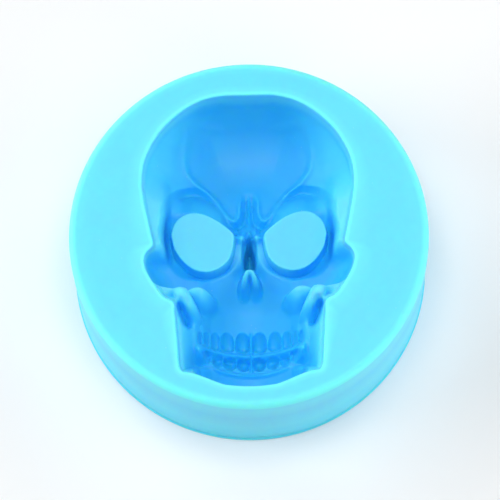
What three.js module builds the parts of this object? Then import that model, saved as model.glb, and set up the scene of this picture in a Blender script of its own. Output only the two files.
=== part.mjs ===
// A round cake mould cast in one piece of silicone rubber, with a skull-shaped hollow in its
// top face. The mould stands on its flat base. x runs to the right of the skull, y towards its
// forehead and z up, with the origin in the middle of the base. Sizes are in millimetres.
//
// The hollow is one height field: depthAt(x, y) gives how far the rubber lies below the top
// face. It starts with the broad bowl of the head and face, and each later function presses
// one feature deeper, or raises one that is a hole in the finished cake, such as an eye.

import * as THREE from "three";

// The block
const RIM_WIDTH = 4.45; // least width of the top face, between the chin and the edge
const FLOOR_THICKNESS = 9.9; // rubber under the deepest point of the hollow
const TOP_EDGE_RADIUS = 1.45; // rounding of the outer top edge
const WALL_FLARE = 0.45; // how much wider the wall is at the crease than at the top
const LIP_HEIGHT = 0.9; // thin lip under the crease where the tool parted
const LIP_PROUD = 0.25;
const CREASE_HEIGHT = 0.35;

// The head and face. All depths are below the top face.
const EDGE_STEP = 2; // low step just inside the outline
const EDGE_STEP_WIDTH = 0.7;
const HEAD_DEPTH = 15.8;
const BROW_SHALLOWER = 3; // how much less deep the forehead is just above the brow
const FOREHEAD_TOP = 22; // height on the face where the forehead is deepest
const HEAD_SLOPE = 16; // how far in from the outline the forehead reaches its full depth
const CROWN_SLOPE = 14; // the same at the crown, where the wall is steeper
const CROWN_START = 12; // heights on the face between which the crown steepens
const CROWN_END = 26;
const CROWN_HALF_WIDTH = 19;
const BROW_HEIGHT = 8; // where the head ends and the face starts
const TEMPLE_RISE = 0.62; // share of the depth lost beside the eye
const FACE_DEPTH = 8.6;
const FACE_SLOPE = 4.5;
const CHIN_SLOPE = 2;
const MUZZLE_DEPTH = 14.4;
const MUZZLE_HALF_WIDTH = 11.3;
const MUZZLE_ROUNDING = 0.045; // depth lost per square millimetre away from the middle
const JAW_EDGE_DEPTH = 1.6;
const JAW_DEPTH = 7;
const JAW_FOOT_DEEPER = 2; // how much deeper the side of the jaw is at its lower corner
const JAW_INNER = 10.2; // where the side of the jaw starts, from the middle
const JAW_SLOPE = 3.6;

// Eyes and brow
const EYE_DEPTH = 5.8; // top of the flat island that leaves the eye socket
const MOAT_DEPTH = 10.1; // narrow groove round the lower side of the island
const MOAT_BANK = 1;
const MOAT_LEAST = 0.3; // width of the moat below the island, and what it gains beside it
const MOAT_INNER = 0.35;
const MOAT_OUTER = 0.2;
const BROW_DEPTH = 8.4; // floor above the island, which falls towards the brow
const BROW_FALL = 0.8;
const BROW_MOAT_CUT = 1.2; // thin end of the moat along the upper outer edge of the island
const LINE_RISE = 0.75; // thin raised line along the lower edge of the forehead
const LINE_WIDTH = 0.65;
const FROWN_CUT = 1.6; // groove beside the frown
const FROWN_AWAY = 1.3;
const FROWN_WIDTH = 0.9;
const GROOVE_CUT = 1.4; // groove under the brow
const GROOVE_AWAY = 0.8;
const GROOVE_WIDTH = 1.6;

// Nose and cheeks
const BONE_PROUD = 2; // the nose bone is deeper than the face
const BONE_HALF_WIDTH = 2.4;
const PIT_DEPTH = 17.4; // narrow pit behind the nose bone, the deepest point of the hollow
const PIT_END = 4.7;
const PIT_HALF_WIDTH = 0.6;
const PIT_WIDENING = 0.2;
const NASAL_SIDE_DEPTH = 8.6; // raised sides of the nose bone, next to the eyes
const NASAL_SIDE_INNER = 1.35;
const TEAR_RISE = 1.4; // raised dots at their upper ends
const TEAR_INNER = 0.8;
const NASION_RISE = 2.6; // raised dot between them, above the pit
const NOSE_DEPTH = 7.8; // top of the raised nose opening
const NOSE_TOP = 5.2;
const NOSE_FALL = 0.6;
const SEPTUM_CUT = 1.8;
const HOLLOW_DEPTH = 4.4; // raised hollow under the cheek bone
const HOLLOW_TOP = 10.2;
const HOLLOW_FALL = 0.36;
const HOLLOW_SIDE_FALL = 0.6;
const HOLLOW_BLEND = 1.5;
const WING_DEPTH = 1.3; // raised web under the end of the cheek bone
const WING_DIP = 1.3;
const POST_DEPTH = 0.8; // upper end of the raised post beside the jaw
const POST_FALL = 6.5;
const POST_WIDTH = 1.85;
const SLOT_CUT = 3.6; // slot outside the post
const SLOT_WIDTH = 0.62;

// Teeth: distance from the middle, half width, height on the face and half height
const TOOTH_CUT = 1.9;
const UPPER_TEETH = [
  [1.75, 1.4, -19.3, 2.05],
  [4.9, 1.2, -19.35, 2],
  [7.25, 0.85, -19.5, 1.85],
  [8.95, 0.62, -19.5, 1.6],
  [10.25, 0.45, -19.5, 1.3],
];
const LOWER_TEETH = [
  [1.6, 1.15, -24, 1.2],
  [4.4, 1.25, -23.9, 1.15],
  [6.9, 0.95, -23.6, 1.05],
  [8.7, 0.75, -23.1, 1.05],
];
const MIDLINE_RISE = 0.5;
const CORNER_RISE = 2.4; // dot at the corner of the mouth
const CHIN_PIT_CUT = 2.8; // pit at each side of the chin
const BITE_LINE = -22.35; // height of the closed bite in the middle
const BITE_CURVE = 0.01; // how it rises towards the corners of the mouth
const BITE_RISE = 0.8;
const BITE_WIDTH = 0.42;
const CHIN_FOLD = -26.3; // raised fold between the lower teeth and the chin
const FOLD_CURVE = 0.02;
const FOLD_RISE = 0.5;
const FOLD_WIDTH = 0.4;

// Outlines, drawn on the right half and mirrored. The head is a curve through these points.
const HEAD_OUTLINE = [
  [0, 29], [5, 28.95], [8, 28.4], [12.5, 26.3], [15.3, 24.1], [17.8, 21.4], [19.7, 18.2],
  [20.9, 15.1], [21.4, 11], [21.05, 7.3], [20.2, 3], [19.5, -0.3], [19.15, -2.1],
  [19.6, -2.9], [20.5, -3.8], [21, -5.2], [20.8, -6.8], [20.2, -8.3], [18.9, -10.6],
  [17.2, -13], [15.6, -13.9], [14.98, -14.9], [14.98, -16.5], [14.5, -22.5],
  [14.3, -26], [14.1, -27.4], [13.5, -28.3], [12, -28.6], [10, -29.2], [6, -30.85],
  [4, -31.3], [0, -31.55],
];
const EYE_OUTLINE = [
  [3.04, 0.84], [3.44, 1.75], [5.06, 3.22], [7.09, 4.64], [9.11, 5.6], [11.14, 5.96],
  [13.16, 5.5], [14.89, 3.98], [15.7, 1.75], [15.59, 0.23], [14.99, -1.99], [13.47, -4.22],
  [11.54, -5.84], [9.62, -6.5], [7.8, -6.45], [5.77, -5.64], [4.25, -4.22], [3.44, -2.3],
  [3.09, -0.27],
];
const SOCKET_OUTLINE = [
  [18.05, -0.21], [17.85, 3.13], [17.3, 5.98], [16.33, 9], [15.15, 11.3], [13.34, 12.4],
  [12.02, 12.8], [10.59, 12.8], [8.75, 11.8], [6.18, 9.6], [4.74, 7.9], [4.12, 6.6],
  [2.99, 5.4], [1.9, 4.6], [2.1, 2.4], [4, 1.2], [8, 2], [13, 1], [17, -1.4],
];
const FOREHEAD_OUTLINE = [
  [1.54, 24], [1.54, 13.35], [1.65, 11.29], [1.8, 9.23], [1.9, 7.5], [2.3, 6.4],
  [3.15, 5.7], [4, 6.3], [5.15, 8.1], [6.18, 9.65], [8.24, 11.9], [10.5, 13.65],
  [11.73, 14.89], [12.65, 16.27], [13.01, 18.33], [12.87, 20.55], [12.26, 22.78], [11.15, 25.19],
];
const NOSE_OUTLINE = [
  [0, -5.5], [0.8, -5.7], [1.4, -6.5], [1.9, -7.6], [2.3, -9], [2.2, -10.4], [1.8, -11.4],
  [1, -11.8], [0, -11.9],
];
const CHEEK_HOLLOW = [
  [13.1, -10.5], [12.5, -10.4], [11.3, -10], [10.1, -9.9], [8.7, -10.2], [7.6, -10.7],
  [6.4, -11.9], [5.4, -14], [6, -17], [9, -18.5], [12.5, -17.5], [13.2, -13],
];
const WING_OUTLINE = [
  [21.6, -9.2], [18.6, -10], [17.1, -10.4], [15.1, -10.7], [13.6, -10.8], [13.1, -11.6],
  [13.7, -12.8], [14.3, -13.9], [15.6, -14.6], [18.1, -14.6], [21.6, -12.2],
];
const POST_LINE = [
  [13.7, -11.8], [13.1, -12.6], [12.4, -13.6], [11.7, -14.6], [11.1, -15.7], [10.7, -17],
];
const SLOT_LINE = [[14.2, -13.3], [14, -14.2], [13.6, -15.5], [13, -16.8], [12.1, -18.4]];

// How fine the surface is
const CURVE_STEPS = 6; // straight steps between two points of an outline
const WALL_SIDES = 96;
const EDGE_STEPS = 4;
const TOOTH_STEP = 0.66;
const FACE_STEP = 0.95;
const HEAD_STEP = 1.5;
const LOOP_STEP = 1;
const FIRST_RING = 0.45; // rings of points just inside the outline hold its steep edge
const SECOND_RING = 1.3;
const ISLAND_EDGE = 0.1; // the island's top edge and its foot, from its outline
const ISLAND_FOOT = 0.6;
const NUDGE = 0.0001;

// Smooth step of v from 0 at low to 1 at high
function smooth(v, low, high) {
  const t = Math.min(Math.max((v - low) / (high - low), 0), 1);
  return t * t * (3 - 2 * t);
}

function mix(a, b, share) {
  return a + (b - a) * share;
}

function bell(v, width) {
  return Math.exp(-((v / width) ** 2));
}

// A slope that leaves the edge steeply and levels out after the given width
function bowl(edge, width) {
  const t = 1 - Math.min(Math.max(edge / width, 0), 1);
  return Math.sqrt(1 - t * t);
}

// A round hill of height 1 at (cx, cy)
function hill(x, y, cx, cy, rx, ry) {
  return Math.exp(-(((x - cx) / rx) ** 2) - ((y - cy) / ry) ** 2);
}

function curveThrough(points, closed) {
  const vectors = points.map(([x, y]) => new THREE.Vector3(x, y, 0));
  const curve = new THREE.CatmullRomCurve3(vectors, closed, "catmullrom", 0.5);
  const count = CURVE_STEPS * (closed ? points.length : points.length - 1);
  const line = curve.getPoints(count).map((p) => [p.x, p.y]);
  if (closed) line.pop();
  return line;
}

function mirrored(half) {
  const left = half.filter(([x]) => x > 0).reverse().map(([x, y]) => [-x, y]);
  return half.concat(left);
}

// Distance from a point to a line, and how far along the line the nearest point lies
function nearLine(line, closed, x, y) {
  let nearest = Infinity;
  let along = 0;
  const last = closed ? line.length : line.length - 1;
  for (let i = 0; i < last; i += 1) {
    const [ax, ay] = line[i];
    const [bx, by] = line[(i + 1) % line.length];
    const length2 = (bx - ax) ** 2 + (by - ay) ** 2;
    const t = Math.min(Math.max(((x - ax) * (bx - ax) + (y - ay) * (by - ay)) / length2, 0), 1);
    const gap = Math.hypot(x - mix(ax, bx, t), y - mix(ay, by, t));
    if (gap < nearest) {
      nearest = gap;
      along = (i + t) / last;
    }
  }
  return { gap: nearest, along };
}

// Distance in from a closed outline, negative outside it
function inside(loop, x, y) {
  let within = false;
  for (let i = 0; i < loop.length; i += 1) {
    const [ax, ay] = loop[i];
    const [bx, by] = loop[(i + 1) % loop.length];
    if (ay > y !== by > y && x < ax + ((y - ay) * (bx - ax)) / (by - ay)) within = !within;
  }
  const { gap } = nearLine(loop, true, x, y);
  return within ? gap : -gap;
}

const headLoop = curveThrough(mirrored(HEAD_OUTLINE), true);
const eyeLoop = curveThrough(EYE_OUTLINE, true);
const socketLoop = curveThrough(SOCKET_OUTLINE, true);
const noseLoop = curveThrough(mirrored(NOSE_OUTLINE), true);
const hollowLoop = curveThrough(CHEEK_HOLLOW, true);
const wingLoop = curveThrough(WING_OUTLINE, true);
const foreheadLoop = curveThrough(FOREHEAD_OUTLINE, true);
const postLine = curveThrough(POST_LINE, false);
const slotLine = curveThrough(SLOT_LINE, false);

// The forehead is a deep dome, steeper at the crown, and the face below it is flatter
function headAndFace(x, y, edge) {
  const crown = smooth(y, CROWN_START, CROWN_END) * (1 - smooth(x, 6, CROWN_HALF_WIDTH));
  const t = Math.min(edge / mix(HEAD_SLOPE, CROWN_SLOPE, crown), 1);
  const dome = (1 - (1 - t) ** mix(1.8, 2, crown)) ** mix(0.85, 0.5, crown);
  const middle = HEAD_DEPTH - BROW_SHALLOWER * (1 - smooth(y, 4, FOREHEAD_TOP));
  const head = EDGE_STEP * smooth(edge, 0, EDGE_STEP_WIDTH) + (middle - EDGE_STEP) * dome;
  const face = FACE_DEPTH * bowl(edge, mix(FACE_SLOPE, CHIN_SLOPE, smooth(-y, 16, 24)));
  const besideEye = smooth(x, 15.5, 18) * smooth(y, -4.5, -1) * (1 - smooth(y, 5, 15));
  return mix(face, head, smooth(y, 1, BROW_HEIGHT)) * (1 - TEMPLE_RISE * besideEye);
}

// The upper jaw stands out from the face and carries the teeth, down to the chin
function muzzle(x, y, depth) {
  const level = MUZZLE_DEPTH - MUZZLE_ROUNDING * x * x;
  const share = smooth(MUZZLE_HALF_WIDTH - x, 0, 3.4) * smooth(-y, 3, 14);
  return mix(depth, Math.max(depth, level), share);
}

function jawSide(x, y, edge, depth) {
  const inner = JAW_DEPTH + JAW_FOOT_DEEPER * smooth(-y, 19, 24);
  const slope = mix(JAW_EDGE_DEPTH, inner, smooth(edge, 0.3, JAW_SLOPE));
  const share = smooth(x, JAW_INNER, JAW_INNER + 1.5) * smooth(-y, 12, 16);
  return mix(depth, slope * smooth(edge, 0, 0.5), share);
}

// How far a place beside the island belongs to the brow, and not to the moat below it
function upperSide(x, y) {
  const outer = smooth(x, 6, 15);
  return smooth(y, mix(-1.5, 4.5, outer), mix(2, 8.5, outer));
}

// The rim of the eye socket: a moat round the island, and a sloping floor under the brow
function socket(x, y, fromIsland, depth) {
  const outer = smooth(x, 10, 15);
  const width = MOAT_LEAST + MOAT_INNER * smooth(-x, -5, -2) + MOAT_OUTER * outer;
  const moat = mix(MOAT_DEPTH, depth, smooth(fromIsland, width, width + MOAT_BANK * (1 + outer)));
  const within = inside(socketLoop, x, y);
  const groove = GROOVE_CUT * bell(within - GROOVE_AWAY, GROOVE_WIDTH) * (1 - smooth(x, 12, 17));
  const thinMoat = BROW_MOAT_CUT * bell(fromIsland, 0.8) * smooth(x, 8, 14);
  const fall = BROW_FALL * fromIsland * (1 - 0.7 * smooth(x, 12, 17));
  const floor = BROW_DEPTH + fall + groove + thinMoat;
  const brow = mix(depth, floor, smooth(within, -0.3, 0.5 + 0.5 * smooth(x, 8, 12)));
  return mix(moat, brow, upperSide(x, y));
}

// The raised line round the lower edge of the forehead, with a groove beside the frown
function browLine(x, y, depth) {
  const below = -inside(foreheadLoop, x, y);
  const line = LINE_RISE * bell(below, LINE_WIDTH);
  const groove = FROWN_CUT * bell(below - FROWN_AWAY, FROWN_WIDTH) * (1 - smooth(x, 3.5, 6));
  const fading = 1 - mix(smooth(y, 9, 13), 0.7 * smooth(y, 14, 21), smooth(x, 4, 7));
  return depth + (groove - line) * fading * smooth(x, -0.6, 0.8);
}

// The nose bone, the pit behind it, and its raised sides with a dot at the top of each
function noseBone(x, y, depth) {
  const along = smooth(-y, -8, -4) * (1 - smooth(-y, 6, 9));
  const bone = depth + BONE_PROUD * bell(x, BONE_HALF_WIDTH) * along;
  const halfWidth = Math.min(Math.max(PIT_HALF_WIDTH - PIT_WIDENING * y, 0.15), 1.2);
  const round = Math.sqrt(Math.max(1 - (x / halfWidth) ** 2, 0));
  const length = smooth(-y, -1.8, 0.4) * (1 - smooth(-y, PIT_END - 0.35, PIT_END + 0.15));
  const cut = mix(bone, Math.max(bone, PIT_DEPTH), round * length);
  const inner = mix(NASAL_SIDE_INNER, TEAR_INNER, bell(y - 1, 0.9));
  const beside = smooth(x, inner - 0.5, inner + 0.45) * (1 - smooth(x, 3.5, 5));
  const side = beside * smooth(y, -6.5, -2) * (1 - smooth(y, 1, 2.8));
  const level = NASAL_SIDE_DEPTH - TEAR_RISE * hill(x, y, 1.6, 1, 0.75, 0.8);
  return mix(cut, Math.min(cut, level), side) - NASION_RISE * hill(x, y, 0, 2, 0.5, 0.9);
}

function noseIsland(x, y, depth) {
  const septum = SEPTUM_CUT * bell(x, mix(0.3, 0.6, smooth(-y, 7, 11))) * smooth(-y, 6.2, 8);
  const level = NOSE_DEPTH + NOSE_FALL * Math.max(-y - NOSE_TOP, 0) + septum;
  const share = smooth(inside(noseLoop, x, y), -0.5, 0.6) * (1 - smooth(-y, 9, 11.8));
  return mix(depth, Math.min(depth, level), share);
}

function cheekHollow(x, y, depth) {
  const fall = HOLLOW_FALL * Math.max(-y - HOLLOW_TOP, 0) ** 2;
  const level = HOLLOW_DEPTH + fall + HOLLOW_SIDE_FALL * Math.max(10.2 - x, 0) ** 2;
  const raised = (depth + level - Math.hypot(depth - level, HOLLOW_BLEND)) / 2;
  return mix(depth, raised, smooth(inside(hollowLoop, x, y), -0.5, 0.6));
}

function wing(x, y, edge, depth) {
  const level = (WING_DEPTH + WING_DIP * hill(x, y, 15.3, -12.3, 1.2, 0.8)) * Math.min(edge / 0.9, 1);
  return mix(depth, Math.min(depth, level), smooth(inside(wingLoop, x, y), -0.5, 0.5));
}

function postAndSlot(x, y, depth) {
  const post = nearLine(postLine, false, x, y);
  const slot = nearLine(slotLine, false, x, y);
  const width = POST_WIDTH - 0.4 * post.along;
  const round = Math.max(1 - (post.gap / width) ** 4, 0) * (1 - smooth(post.along, 0.55, 1));
  const top = POST_DEPTH + POST_FALL * post.along ** 2;
  const raised = Math.min(depth, mix(depth, top, Math.sqrt(round)));
  const taper = smooth(slot.along, 0, 0.3) * (1 - smooth(slot.along, 0.75, 1));
  return raised + SLOT_CUT * bell(slot.gap, SLOT_WIDTH * (0.6 + 0.4 * slot.along)) * taper;
}

function toothRow(row, x, y) {
  let cut = 0;
  for (const [middle, halfWidth, height, halfHeight] of row) {
    const across = ((x - middle) / halfWidth) ** 2;
    const up = ((y - height) / halfHeight) ** 4;
    cut += TOOTH_CUT * Math.sqrt(Math.max(1 - across - up, 0));
  }
  return cut;
}

function mouth(x, y, depth) {
  const biteLine = BITE_LINE + BITE_CURVE * x * x;
  const bite = BITE_RISE * bell(y - biteLine, BITE_WIDTH) * (1 - smooth(x, 8.6, 10));
  const middle = MIDLINE_RISE * bell(x, 0.28) * smooth(-y, 17, 18) * (1 - smooth(-y, 25.3, 26));
  const corner = CORNER_RISE * hill(x, y, 10.3, -22.3, 0.9, 1.2);
  const pit = CHIN_PIT_CUT * hill(x, y, 10.2, -24.7, 1.5, 0.8);
  const fold = FOLD_RISE * bell(y - CHIN_FOLD - FOLD_CURVE * x * x, FOLD_WIDTH) * (1 - smooth(x, 6.5, 9));
  const teeth = toothRow(UPPER_TEETH, x, y) + toothRow(LOWER_TEETH, x, y);
  return depth + teeth + pit - bite - middle - corner - fold;
}

function depthAt(px, y) {
  const x = Math.abs(px);
  const edge = inside(headLoop, x, y);
  if (edge <= 0) return 0;
  const eye = inside(eyeLoop, x, y);
  let depth = headAndFace(x, y, edge);
  depth = muzzle(x, y, depth);
  depth = jawSide(x, y, edge, depth);
  depth = socket(x, y, Math.max(-eye, 0), depth);
  depth = browLine(x, y, depth);
  depth = noseBone(x, y, depth);
  depth = noseIsland(x, y, depth);
  depth = cheekHollow(x, y, depth);
  depth = wing(x, y, edge, depth);
  depth = postAndSlot(x, y, depth);
  depth = mouth(x, y, depth);
  depth = mix(depth, EYE_DEPTH, smooth(eye, -ISLAND_FOOT, ISLAND_EDGE));
  return depth * smooth(edge, 0, 0.25);
}

// Points at even steps along a loop, moved in from it by the inset
function pointsAlong(loop, step, inset) {
  const ends = loop.concat([loop[0]]).map(([x, y]) => new THREE.Vector3(x, y, 0));
  const path = new THREE.CurvePath();
  for (let i = 0; i < loop.length; i += 1) path.add(new THREE.LineCurve3(ends[i], ends[i + 1]));
  const count = Math.round(path.getLength() / step);
  const points = [];
  for (let i = 0; i < count; i += 1) {
    const at = path.getPoint(i / count);
    const way = path.getPoint((i + 0.01) / count).sub(at).normalize();
    const moved = [at.x + inset * way.y, at.y - inset * way.x];
    if (Math.abs(inside(loop, ...moved) - inset) < 0.3 * Math.abs(inset) + 0.001) points.push(moved);
  }
  return points;
}

// Which spacing of points a place in the hollow needs
function stepAt(x, y) {
  if (Math.abs(x) < MUZZLE_HALF_WIDTH && y < -16.8 && y > -26) return TOOTH_STEP;
  return y < 14 ? FACE_STEP : HEAD_STEP;
}

// A honeycomb of points that fills the hollow and keeps clear of the rings of points
function fillPoints(step, rings) {
  const points = [];
  const reach = Math.ceil(topRadius / step);
  for (let row = -reach; row <= reach; row += 1) {
    for (let column = -reach; column <= reach; column += 1) {
      const x = (column + (row % 2 === 0 ? 0 : 0.5)) * step;
      const y = row * step * Math.sqrt(0.75);
      if (stepAt(x, y) !== step || inside(headLoop, x, y) < step) continue;
      if (inside(eyeLoop, Math.abs(x), y) > 0) continue;
      const near = rings.some(([rx, ry]) => Math.hypot(rx - x, ry - y) < 0.62 * step);
      if (!near) points.push([x, y]);
    }
  }
  return points;
}

// The circle through three corners, kept with them
function circled(points, a, b, c) {
  const [ax, ay] = points[a];
  const [bx, by] = [points[b][0] - ax, points[b][1] - ay];
  const [cx, cy] = [points[c][0] - ax, points[c][1] - ay];
  const d = 2 * (bx * cy - by * cx);
  const ux = (cy * (bx * bx + by * by) - by * (cx * cx + cy * cy)) / d;
  const uy = (bx * (cx * cx + cy * cy) - cx * (bx * bx + by * by)) / d;
  return { corners: [a, b, c], x: ax + ux, y: ay + uy, r2: ux * ux + uy * uy };
}

// Joins scattered points by triangles whose circles hold no other point. Here each point is
// nudged by less than can be seen, because mirrored points often share one circle.
function triangulate(points) {
  const nudged = points.map(([x, y], i) => [x + NUDGE * Math.sin(7 * i), y + NUDGE * Math.sin(11 * i)]);
  const far = 100 * topRadius;
  const all = nudged.concat([[-far, -far], [far, -far], [0, far]]);
  const count = points.length;
  let triangles = [circled(all, count, count + 1, count + 2)];
  for (let index = 0; index < count; index += 1) {
    const [x, y] = all[index];
    const border = new Map();
    triangles = triangles.filter((triangle) => {
      if ((x - triangle.x) ** 2 + (y - triangle.y) ** 2 >= triangle.r2) return true;
      const [a, b, c] = triangle.corners;
      for (const [from, to] of [[a, b], [b, c], [c, a]]) {
        if (!border.delete(`${to},${from}`)) border.set(`${from},${to}`, [from, to]);
      }
      return false;
    });
    for (const [from, to] of border.values()) triangles.push(circled(all, from, to, index));
  }
  return triangles.map((t) => t.corners).filter((corners) => corners.every((i) => i < count));
}

const topRadius = Math.max(...headLoop.map(([x, y]) => Math.hypot(x, y))) + RIM_WIDTH;
const height = PIT_DEPTH + FLOOR_THICKNESS;

function circlePoints(radius) {
  const points = [];
  for (let i = 0; i < WALL_SIDES; i += 1) {
    const angle = (2 * Math.PI * i) / WALL_SIDES;
    points.push([radius * Math.cos(angle), radius * Math.sin(angle)]);
  }
  return points;
}

// Rings of the outside from the top face down to the base, as radius and height
function wallRings() {
  const rings = [];
  for (let i = 1; i <= EDGE_STEPS; i += 1) {
    const angle = (Math.PI / 2) * (i / EDGE_STEPS);
    const inset = TOP_EDGE_RADIUS * (1 - Math.sin(angle));
    rings.push([topRadius - inset, height - TOP_EDGE_RADIUS * (1 - Math.cos(angle))]);
  }
  const crease = topRadius + WALL_FLARE;
  rings.push([crease, LIP_HEIGHT + CREASE_HEIGHT]);
  rings.push([crease - LIP_PROUD / 2, LIP_HEIGHT]);
  rings.push([crease + LIP_PROUD, LIP_HEIGHT - CREASE_HEIGHT / 2]);
  rings.push([crease + LIP_PROUD, 0]);
  return rings;
}

function mouldGeometry() {
  const rim = circlePoints(topRadius - TOP_EDGE_RADIUS);
  const eyeRings = [];
  for (const inset of [ISLAND_EDGE, -ISLAND_FOOT, -2 * ISLAND_FOOT]) {
    for (const [x, y] of pointsAlong(eyeLoop, LOOP_STEP, inset)) eyeRings.push([x, y], [-x, y]);
  }
  const headRings = [0, FIRST_RING, SECOND_RING].flatMap((inset) => pointsAlong(headLoop, LOOP_STEP, inset));
  const rings = headRings.concat(eyeRings);
  const fill = [TOOTH_STEP, FACE_STEP, HEAD_STEP].flatMap((step) => fillPoints(step, rings));
  const top = fill.concat(rings, rim);

  const vertices = top.map(([x, y]) => [x, y, height - depthAt(x, y)]);
  const faces = triangulate(top);
  let upper = top.length - rim.length;
  for (const [radius, z] of wallRings()) {
    const lower = vertices.length;
    for (const [x, y] of circlePoints(radius)) vertices.push([x, y, z]);
    for (let i = 0; i < WALL_SIDES; i += 1) {
      const next = (i + 1) % WALL_SIDES;
      faces.push([upper + i, lower + i, lower + next], [upper + i, lower + next, upper + next]);
    }
    upper = lower;
  }
  const centre = vertices.length;
  vertices.push([0, 0, 0]);
  for (let i = 0; i < WALL_SIDES; i += 1) {
    faces.push([centre, upper + ((i + 1) % WALL_SIDES), upper + i]);
  }

  const geometry = new THREE.BufferGeometry();
  geometry.setAttribute("position", new THREE.Float32BufferAttribute(vertices.flat(), 3));
  geometry.setIndex(faces.flat());
  geometry.computeVertexNormals();
  return geometry;
}

// Food-grade silicone rubber, pigmented sky blue, with a satin moulded skin
function siliconeRubber() {
  return new THREE.MeshStandardMaterial({ color: 0x70e9ff, roughness: 0.5, metalness: 0 });
}

const mould = new THREE.Group();
const mouldBody = new THREE.Mesh(mouldGeometry(), siliconeRubber());
mouldBody.name = "mould_body";
mould.add(mouldBody);

export default mould;
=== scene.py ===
"""A round cake mould of sky-blue silicone rubber with a skull-shaped hollow in its top face."""

import math

import bpy
import numpy as np
from mathutils import Matrix, Vector


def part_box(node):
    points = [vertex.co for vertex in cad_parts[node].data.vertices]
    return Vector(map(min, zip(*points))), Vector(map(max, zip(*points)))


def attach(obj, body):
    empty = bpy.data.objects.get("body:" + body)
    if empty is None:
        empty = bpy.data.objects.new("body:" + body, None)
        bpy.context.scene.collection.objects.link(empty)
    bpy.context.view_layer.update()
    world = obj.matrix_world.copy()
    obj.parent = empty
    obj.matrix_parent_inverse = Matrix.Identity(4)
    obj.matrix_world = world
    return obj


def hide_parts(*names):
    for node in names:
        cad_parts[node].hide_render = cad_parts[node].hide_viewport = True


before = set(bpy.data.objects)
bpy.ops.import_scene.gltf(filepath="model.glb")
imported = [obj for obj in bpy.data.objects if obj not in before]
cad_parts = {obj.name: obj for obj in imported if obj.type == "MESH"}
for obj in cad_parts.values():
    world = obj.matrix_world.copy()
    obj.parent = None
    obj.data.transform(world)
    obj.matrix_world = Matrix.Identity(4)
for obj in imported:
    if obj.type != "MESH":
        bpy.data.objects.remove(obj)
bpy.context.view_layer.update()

# The block: one piece of food-grade silicone rubber, pressed in a two-part tool and slightly
# wider at the foot. The tool's two halves met near the base, which left a crease with a thin
# lip below it. Sizes are in millimetres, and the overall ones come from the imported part.
MM = 0.001
foot_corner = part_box("mould_body")[1] / MM
height = foot_corner.z
foot_radius = foot_corner.x
LIP_PROUD = 0.25
LIP_HEIGHT = 0.9
CREASE_HEIGHT = 0.35
FOOT_BEVEL_ACROSS = 0.2
FOOT_BEVEL_UP = 0.15
WALL_FLARE = 0.45
TOP_EDGE_RADIUS = 1.45
WALL_STEPS = 8
TOP_EDGE_STEPS = 10
wall_foot_radius = foot_radius - LIP_PROUD
top_radius = wall_foot_radius - WALL_FLARE


def smooth(v, low, high):
    """A smooth step of v from 0 at low to 1 at high."""
    t = np.clip((v - low) / (high - low), 0, 1)
    return t * t * (3 - 2 * t)


def mix(a, b, share):
    return a + (b - a) * share


def block_profile():
    """The outside of the block from the middle of the base up to the top face, as radius and height."""
    wall_foot = LIP_HEIGHT + CREASE_HEIGHT
    wall_top = height - TOP_EDGE_RADIUS
    profile = [
        (0.0, 0.0),
        (foot_radius - FOOT_BEVEL_ACROSS, 0.0),
        (foot_radius, FOOT_BEVEL_UP),
        (foot_radius, LIP_HEIGHT - CREASE_HEIGHT / 2),
        (wall_foot_radius - LIP_PROUD / 2, LIP_HEIGHT),
        (wall_foot_radius, wall_foot),
    ]
    for step in range(1, WALL_STEPS + 1):
        share = step / WALL_STEPS
        profile.append((mix(wall_foot_radius, top_radius, share), mix(wall_foot, wall_top, share)))
    for step in range(1, TOP_EDGE_STEPS + 1):
        angle = math.pi / 2 * step / TOP_EDGE_STEPS
        inset = TOP_EDGE_RADIUS * (1 - math.cos(angle))
        profile.append((top_radius - inset, wall_top + TOP_EDGE_RADIUS * math.sin(angle)))
    return profile


# The hollow's outline in the top face: cranium, temples, the ends of the cheek bones, the jaw and
# the chin. It was the edge of the skull model that the mould was made from. The right half is
# drawn and mirrored. Its upper edge is rounded where the rubber turns down into the hollow.
HEAD_OUTLINE = [
    (0, 29), (5, 28.95), (8, 28.4), (10, 27.7), (12.5, 26.3), (15.3, 24.1), (17.8, 21.4),
    (19.7, 18.2), (20.9, 15.1), (21.4, 11), (21.05, 7.3), (20.2, 3), (19.5, -0.3),
    (19.15, -2.1), (19.6, -2.9), (20.5, -3.8), (21, -5.2), (20.8, -6.8), (20.2, -8.3),
    (18.9, -10.6), (17.2, -13), (15.6, -13.9), (14.98, -14.9), (14.98, -16.5), (14.5, -22.5),
    (14.3, -26), (14.1, -27.4), (13.5, -28.3), (12, -28.6), (10, -29.2), (6, -30.85),
    (4, -31.3), (0, -31.55),
]
RIM_ROUNDING = 0.35
RIM_FOOT_WIDTH = 0.25


def curve_through(points, closed, steps=6):
    """A smooth line through the points, with a few straight steps between each two."""
    knots = np.array(points, float)
    last = len(knots) if closed else len(knots) - 1
    t = np.arange(steps)[:, None] / steps
    line = []
    for i in range(last):
        if closed:
            a, b, c, d = knots[np.array([i - 1, i, i + 1, i + 2]) % len(knots)]
        else:
            a, b, c, d = knots[np.clip([i - 1, i, i + 1, i + 2], 0, last)]
        bend = (2 * a - 5 * b + 4 * c - d) * t**2 + (3 * b - a - 3 * c + d) * t**3
        line.append(b + 0.5 * ((c - a) * t + bend))
    if not closed:
        line.append(knots[-1:])
    return np.concatenate(line)


def mirrored(half):
    return half + [(-x, y) for x, y in reversed(half) if x > 0]


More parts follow.
